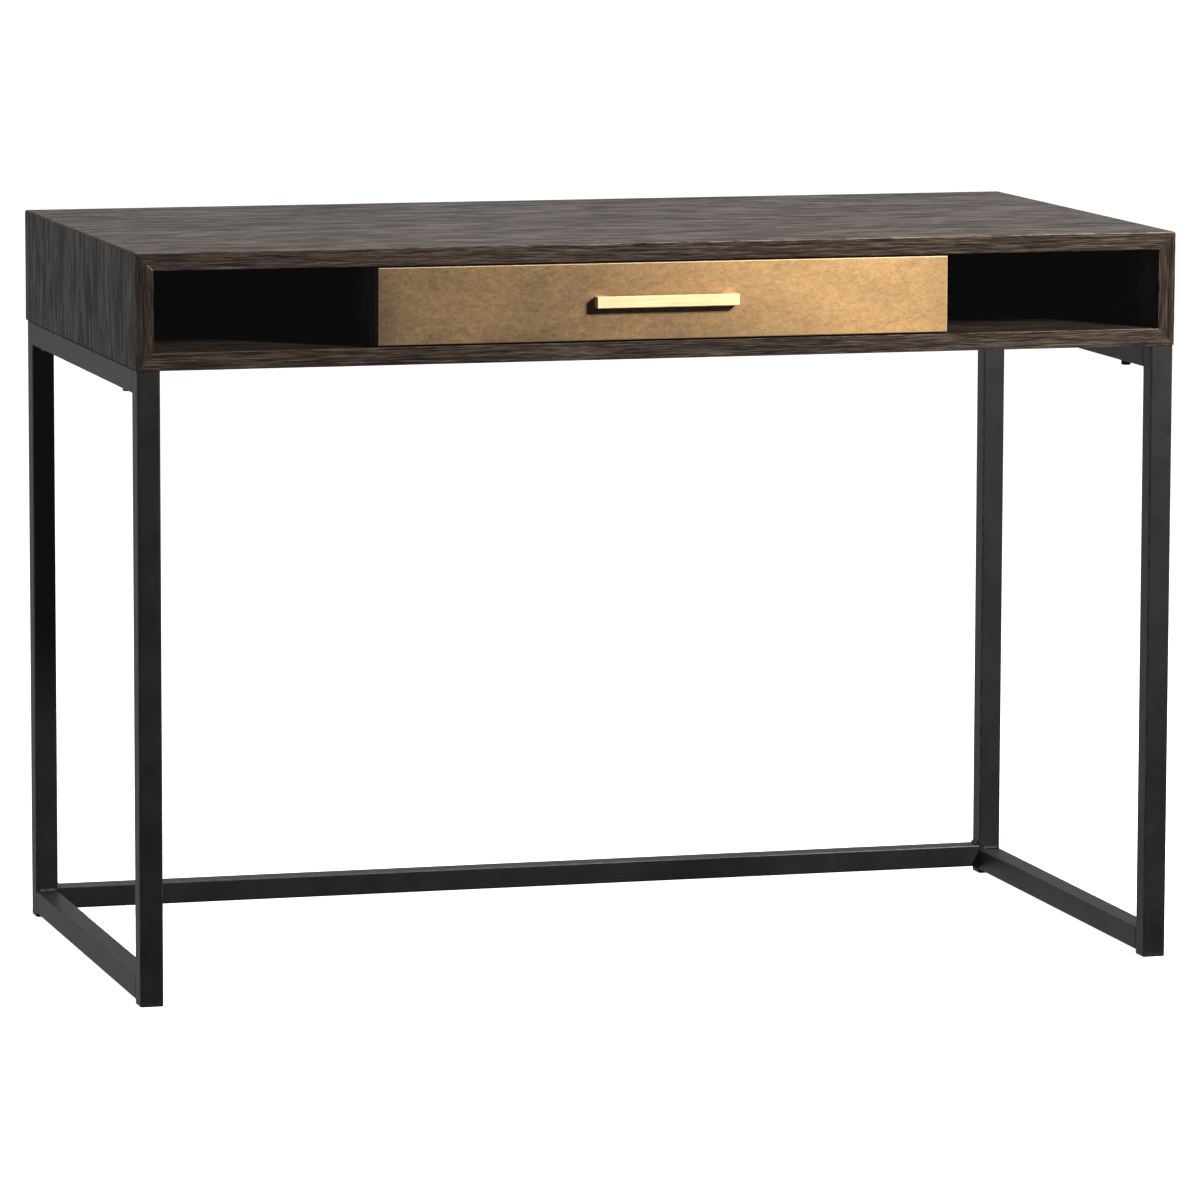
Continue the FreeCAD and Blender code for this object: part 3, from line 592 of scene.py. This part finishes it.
# name, node, grain axis, thickness axis, side of the outer face
drawerBoards = [
    ("drawerFront", "drawer_front", 0, 1, -1),
    ("drawerBack", "drawer_back", 0, 1, 1),
    ("drawerBottom", "drawer_bottom", 0, 2, 1),
    ("drawerLeftSide", "drawer_left_side", 1, 0, -1),
    ("drawerRightSide", "drawer_right_side", 1, 0, 1),
    ("faceCore", "face_core", 0, 1, -1),
]
for order, (name, node, along, thick, outer) in enumerate(drawerBoards):
    material = lacqueredBirch(name + "Birch", along, (order * 0.83, order * 1.91, order * 0.47))
    easedBoard(name, node, "drawer", material, along, thick, outer, 0,
               board["drawerEase"])
print("boards lofted")


# turned screws and bolts
turned = {"segments": 48}


def hexRadius(acrossFlats):
    def radius(angle):
        turn = (angle + math.pi / 6) % (math.pi / 3) - math.pi / 6
        return acrossFlats / 2 / math.cos(turn)
    return radius


def crossRadius(arm, slot):
    def radius(angle):
        c = max(abs(math.cos(angle)), 1e-6)
        s = max(abs(math.sin(angle)), 1e-6)
        return max(min(arm / c, slot / s), min(slot / c, arm / s))
    return radius


# rings of (radius or radius function, height) from the recess's floor out over the head and
# down the shank; `spots` are places and the direction that the shank points
def turnedPieces(name, rings, spots, material, body, replaced):
    count = turned["segments"]
    vertices = []
    faces = []
    smooth = []
    for place, direction in spots:
        spin = Vector((0, 0, 1)).rotation_difference(Vector(direction)).to_matrix().to_4x4()
        world = Matrix.Translation(place) @ spin
        start = len(vertices)
        for radius, height in rings:
            for step in range(count):
                angle = 2 * math.pi * step / count
                reach = radius(angle) if callable(radius) else radius
                corner = Vector((reach * math.cos(angle), reach * math.sin(angle), height))
                vertices.append(world @ corner)
        for index in range(len(rings) - 1):
            faces += [tuple(reversed(face))
                      for face in bridge(start + index * count, start + (index + 1) * count, count)]
            smooth += [True] * count
        faces.append(tuple(range(start, start + count)))
        last = start + (len(rings) - 1) * count
        faces.append(tuple(reversed(range(last, last + count))))
        smooth += [False, False]
    flipped = [tuple(reversed(face)) for face in faces]
    return addPiece(name, vertices, flipped, material, body, replaced, smooth)


def threadRings(radius, start, end, pitch, depth):
    rings = []
    height = start
    while height < end:
        rings.append((radius, height))
        rings.append((radius - depth, height + pitch / 2))
        height += pitch
    rings.append((radius, end))
    return rings


def cornerSpots(node, inset, axes):
    # the four places inset from the corners of a node's box, on the two named axes
    low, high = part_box(node)
    first, second = axes
    return [(a, b) for a in (low[first] + inset, high[first] - inset)
            for b in (low[second] + inset, high[second] - inset)]


bolt = {"head": 0.005, "height": 0.005, "shank": 0.003, "socket": 0.005, "socketDepth": 0.003,
        "pitch": 0.001}
boltLow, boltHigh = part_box("frame_bolts")
boltLength = boltHigh.z - boltLow.z - bolt["height"]
boltRings = [
    (hexRadius(bolt["socket"]), -bolt["height"] + bolt["socketDepth"]),
    (hexRadius(bolt["socket"]), -bolt["height"] + 0.0001),
    (hexRadius(bolt["socket"] * 1.08), -bolt["height"]),
    (bolt["head"] * 0.86, -bolt["height"]),
    (bolt["head"] * 0.95, -bolt["height"] * 0.96),
    (bolt["head"] * 0.99, -bolt["height"] * 0.89),
    (bolt["head"], -bolt["height"] * 0.8),
    (bolt["head"], 0),
    (bolt["shank"], 0),
] + threadRings(bolt["shank"], 0.0015, boltLength, bolt["pitch"], 0.0002)
boltSpots = [((x, y, boltLow.z + bolt["height"]), (0, 0, 1))
             for x, y in cornerSpots("frame_bolts", bolt["head"], (0, 1))]
turnedPieces("frameBolts", boltRings, boltSpots, boltFinish, "desk",
             ["frame_bolts"])

pan = {"head": 0.004, "height": 0.0024, "shank": 0.002, "arm": 0.0022, "slot": 0.00055,
       "recess": 0.0014, "pitch": 0.0009}


def panRings(length):
    return [
        (pan["slot"] * 0.7, -pan["height"] + pan["recess"]),
        (crossRadius(pan["arm"] * 0.6, pan["slot"] * 0.8), -pan["height"] + pan["recess"] * 0.6),
        (crossRadius(pan["arm"], pan["slot"]), -pan["height"] + 0.00005),
        (pan["head"] * 0.66, -pan["height"]),
        (pan["head"] * 0.84, -pan["height"] * 0.86),
        (pan["head"] * 0.96, -pan["height"] * 0.58),
        (pan["head"], -pan["height"] * 0.3),
        (pan["head"], 0),
        (pan["shank"], 0),
    ] + threadRings(pan["shank"], 0.001, length, pan["pitch"], 0.00025)


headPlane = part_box("drawer_front")[1].y
for name, node in (("handleScrews", "handle_screws"), ("faceScrews", "face_screws")):
    low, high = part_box(node)
    corners = cornerSpots(node, pan["head"], (0, 2))
    spots = sorted({(round(x, 5), round(z, 5)) for x, z in corners})
    places = [((x, headPlane, z), (0, -1, 0)) for x, z in spots]
    turnedPieces(name, panRings(headPlane - low.y), places, screwFinish, "drawer",
                 [node])

# countersunk runner screws: the case's own point outwards and the drawer's point inwards
flat = {"head": 0.00325, "shank": 0.00175, "sheet": 0.0012, "sunk": 0.00005, "length": 0.0122,
        "arm": 0.0019, "slot": 0.0005, "pitch": 0.0011}
flatRings = [
    (flat["slot"] * 0.6, 0.0011),
    (crossRadius(flat["arm"] * 0.6, flat["slot"] * 0.8), 0.0008),
    (crossRadius(flat["arm"], flat["slot"]), flat["sunk"] + 0.00003),
    (flat["head"], flat["sunk"]),
    (flat["shank"], flat["sheet"]),
]
flatRings += threadRings(flat["shank"], flat["sheet"] + 0.0002, flat["length"] - 0.003,
                         flat["pitch"], 0.0003)
flatRings.append((flat["shank"] * 0.15, flat["length"]))
for name, node, body, outward in (("slideCaseScrews", "slide_case_screws", "desk", True),
                                  ("slideDrawerScrews", "slide_drawer_screws", "drawer", False)):
    low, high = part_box(node)
    rows = [low.y + flat["head"], (low.y + high.y) / 2, high.y - flat["head"]]
    level = (low.z + high.z) / 2
    places = []
    for side in (-1, 1):
        # the head lies at the inner end of an outward screw and at the outer end of an inward one
        edge = high.x if side > 0 else low.x
        head = edge - side * flat["length"] if outward else edge + side * flat["sunk"]
        direction = (side if outward else -side, 0, 0)
        places += [((head, row, level), direction) for row in rows]
    turnedPieces(name, flatRings, places, screwFinish, body, [node])
print("screws and bolts turned")


# weld beads: the leg is a bead's reach along each face
weld = {"leg": 0.0044, "pitch": 0.0017, "ripple": 0.16, "steps": 36, "inset": 0.003,
        "section": 6, "bulge": 0.78}


# a rippled bead that fills an inner corner from `start` to `end`, its legs along two directions
def beadInto(vertices, faces, start, end, first, second):
    count = weld["section"]
    base = len(vertices)
    run = end - start
    for step in range(weld["steps"] + 1):
        share = step / weld["steps"]
        travel = share * run.length
        wave = abs(math.sin(math.pi * travel / weld["pitch"]))
        taper = min(1, 8 * share + 0.25, 8 * (1 - share) + 0.25)
        leg = weld["leg"] * (1 - weld["ripple"] + weld["ripple"] * wave) * taper
        centre = start + run * share
        vertices.append(centre)
        for part in range(count - 1):
            angle = part / (count - 2) * math.pi / 2
            # between a straight chamfer and a round bead
            bulge = leg * (weld["bulge"] if 0 < part < count - 2 else 1)
            outward = first * math.cos(angle) + second * math.sin(angle)
            vertices.append(centre + outward * bulge)
    for step in range(weld["steps"]):
        faces += bridge(base + step * count, base + (step + 1) * count, count)
    faces.append(tuple(reversed(range(base, base + count))))
    last = base + weld["steps"] * count
    faces.append(tuple(range(last, last + count)))


def buildBeads():
    vertices = []
    faces = []
    up = Vector((0, 0, 1))
    backward = Vector((0, 1, 0))
    rightward = Vector((1, 0, 0))
    for name in ("left", "right"):
        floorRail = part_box(f"{name}_floor_rail")
        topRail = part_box(f"{name}_top_rail")
        left = floorRail[0].x + weld["inset"]
        right = floorRail[1].x - weld["inset"]
        for y, away in ((floorRail[0].y, backward), (floorRail[1].y, -backward)):
            for z, rise in ((floorRail[1].z, up), (topRail[0].z, -up)):
                beadInto(vertices, faces, Vector((left, y, z)), Vector((right, y, z)), away, rise)
    low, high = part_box("rear_stretcher")
    front = low.y + weld["inset"]
    back = high.y - weld["inset"]
    for x, away in ((low.x, rightward), (high.x, -rightward)):
        for z, rise in ((high.z, up), (low.z, -up)):
            beadInto(vertices, faces, Vector((x, front, z)), Vector((x, back, z)), away, rise)
    piece = addPiece("weldBeads", vertices, faces, steelFinish, "desk",
                     ["weld_beads"], [True] * len(faces))
    turnOutward(piece.data)


def turnOutward(mesh):
    shell = bmesh.new()
    shell.from_mesh(mesh)
    bmesh.ops.recalc_face_normals(shell, faces=shell.faces)
    shell.to_mesh(mesh)
    shell.free()


buildBeads()
print("weld beads laid")


# finishes on the pieces that keep their own shape
kept = {}
for row in ("front", "rear"):
    for side in ("left", "right"):
        kept[f"{row}_{side}_leg"] = steelFinish
        kept[f"{row}_{side}_glide"] = plasticFinish
for side in ("left", "right"):
    kept[f"{side}_top_rail"] = steelFinish
    kept[f"{side}_floor_rail"] = steelFinish
    kept[f"{side}_handle_post"] = postFinish
    for part in ("outer", "middle", "inner"):
        kept[f"{side}_slide_{part}"] = runnerFinish
    for part in ("outer", "inner"):
        kept[f"{side}_{part}_cage"] = runnerFinish
        kept[f"{side}_{part}_balls"] = ballFinish
kept["rear_stretcher"] = steelFinish
kept["frame_washers"] = boltFinish
kept["threaded_inserts"] = screwFinish
kept["corner_splines"] = lacqueredBirch("splineBirch", 1, (3, 1, 2))
kept["divider_dowels"] = lacqueredBirch("dowelBirch", 2, (1, 3, 2))
kept["face_skin"] = skinFinish
kept["handle_bar"] = barFinish
kept["drawer_bumpers"] = rubberFinish

eased = {
    "drawer_bumpers": 0.0004,
    "threaded_inserts": 0.0002,
    "frame_washers": 0.00015,
    "corner_splines": 0.0004,
}
for node, material in kept.items():
    thing = nodes[node]
    thing.data.materials.clear()
    thing.data.materials.append(material)
    if node in eased:
        bevel = thing.modifiers.new("ease", "BEVEL")
        bevel.width = eased[node]
        bevel.segments = 2
        bevel.limit_method = "ANGLE"
print("finishes set on", len(kept), "nodes")


# floor, light and camera
studio = {
    "floorSize": 60.0,
    "floorColour": (0.86, 0.86, 0.855),
    "floorShade": (0.83, 0.83, 0.825),
    "floorGlow": 1.0,
    "backdrop": 1.0,
    "ambientFront": 0.035,
    "ambientRear": 0.40,
    "roomTint": (0.96, 0.99, 1.0, 1),
    "wallEdge": (0.35, 0.95),
    "blackLift": 0.0035,
}


# a white floor without a horizon; only the camera sees it, which keeps its light off the frame
def buildFloor():
    half = studio["floorSize"] / 2
    mesh = bpy.data.meshes.new("studioFloor")
    corners = [(-half, -half, 0), (half, -half, 0), (half, half, 0), (-half, half, 0)]
    mesh.from_pydata(corners, [], [(0, 1, 2, 3)])
    floor = bpy.data.objects.new("studioFloor", mesh)
    bpy.context.scene.collection.objects.link(floor)
    floor.visible_diffuse = False
    floor.visible_glossy = False
    finish = Finish("studioFloorPaint")
    cloud = finish.grain(finish.place(), 3.0, 3.0)
    surface = finish.node("BsdfPrincipled", None, {
        "Base Color": finish.mix(cloud * 0.2, studio["floorColour"], studio["floorShade"]),
        "Roughness": 0.75,
        "Specular IOR Level": 0.15,
        "Emission Color": (1, 1, 1, 1),
        "Emission Strength": studio["floorGlow"],
    })
    finish.node("OutputMaterial", None, {"Surface": surface})
    mesh.materials.append(finish.material)


# the camera sees plain white; everything else sees a pale wall behind the desk and a dark room
# in front of it
def buildWorld():
    world = bpy.data.worlds.new("studio")
    bpy.context.scene.world = world
    room = Finish("studio", world)
    towards = room.node("SeparateXYZ", None, {0: room.node("TexCoord", output="Generated")}, 1)
    seen = room.node("LightPath", output="Is Camera Ray")
    wall = room.fit(towards, *studio["wallEdge"], studio["ambientFront"], studio["ambientRear"])
    soft = room.node("Background", None, {"Color": studio["roomTint"], "Strength": wall})
    white = room.node("Background", None, {"Color": (1, 1, 1, 1), "Strength": studio["backdrop"]})
    either = room.node("MixShader", None, {0: seen, 1: soft, 2: white})
    room.node("OutputWorld", None, {"Surface": either})


# name, place, aimed at, width, height, watts, colour
softboxes = [
    ("keyBox", (1.6, -1.95, 1.95), (0.35, -0.26, 0.7), 0.4, 0.4, 150, (1.0, 0.95, 0.89)),
    ("leftFill", (-3.4, 1.35, 1.3), (-0.5, 0, 0.5), 2.0, 2.2, 30, (0.98, 1.0, 0.92)),
    ("leftStrip", (-3.6, -1.3, 0.6), (-0.5, -0.2, 0.5), 0.3, 1.4, 9, (1.0, 0.97, 0.92)),
    ("topBox", (0.2, 0.9, 3.2), (0, 0, 0.7), 2.6, 1.8, 70, (1.0, 0.94, 0.90)),
]


def buildLights():
    for name, place, aim, width, height, watts, colour in softboxes:
        data = bpy.data.lights.new(name, "AREA")
        data.shape = "RECTANGLE"
        data.size = width
        data.size_y = height
        data.energy = watts
        data.color = colour
        lamp = bpy.data.objects.new(name, data)
        lamp.location = place
        lamp.rotation_euler = (Vector(aim) - Vector(place)).to_track_quat("-Z", "Y").to_euler()
        lamp.visible_camera = False
        bpy.context.scene.collection.objects.link(lamp)


shot = {
    "azimuth": 15.863,
    "elevation": 7.683,
    "roll": 0.164,
    "distance": 7.491,
    "target": (0.0108, 0.005, 0.3581),
    "lens": 212.7,
}


def buildCamera():
    data = bpy.data.cameras.new("studioCamera")
    data.lens = shot["lens"]
    data.sensor_width = 36
    data.clip_start = 0.1
    data.clip_end = 200
    camera = bpy.data.objects.new("studioCamera", data)
    turn = math.radians(shot["azimuth"])
    rise = math.radians(shot["elevation"])
    level = math.cos(rise)
    back = Vector((-math.sin(turn) * level, -math.cos(turn) * level, math.sin(rise)))
    camera.location = Vector(shot["target"]) + back * shot["distance"]
    aimed = (-back).to_track_quat("-Z", "Y").to_matrix().to_4x4()
    rolled = aimed @ Matrix.Rotation(math.radians(shot["roll"]), 4, "Z")
    camera.rotation_euler = rolled.to_euler()
    bpy.context.scene.collection.objects.link(camera)
    bpy.context.scene.camera = camera


buildFloor()
buildWorld()
buildLights()
buildCamera()
view = bpy.context.scene.view_settings
view.view_transform = "Standard"
view.use_curve_mapping = True
view.curve_mapping.black_level = [-studio["blackLift"]] * 3
view.curve_mapping.update()
print("studio built")
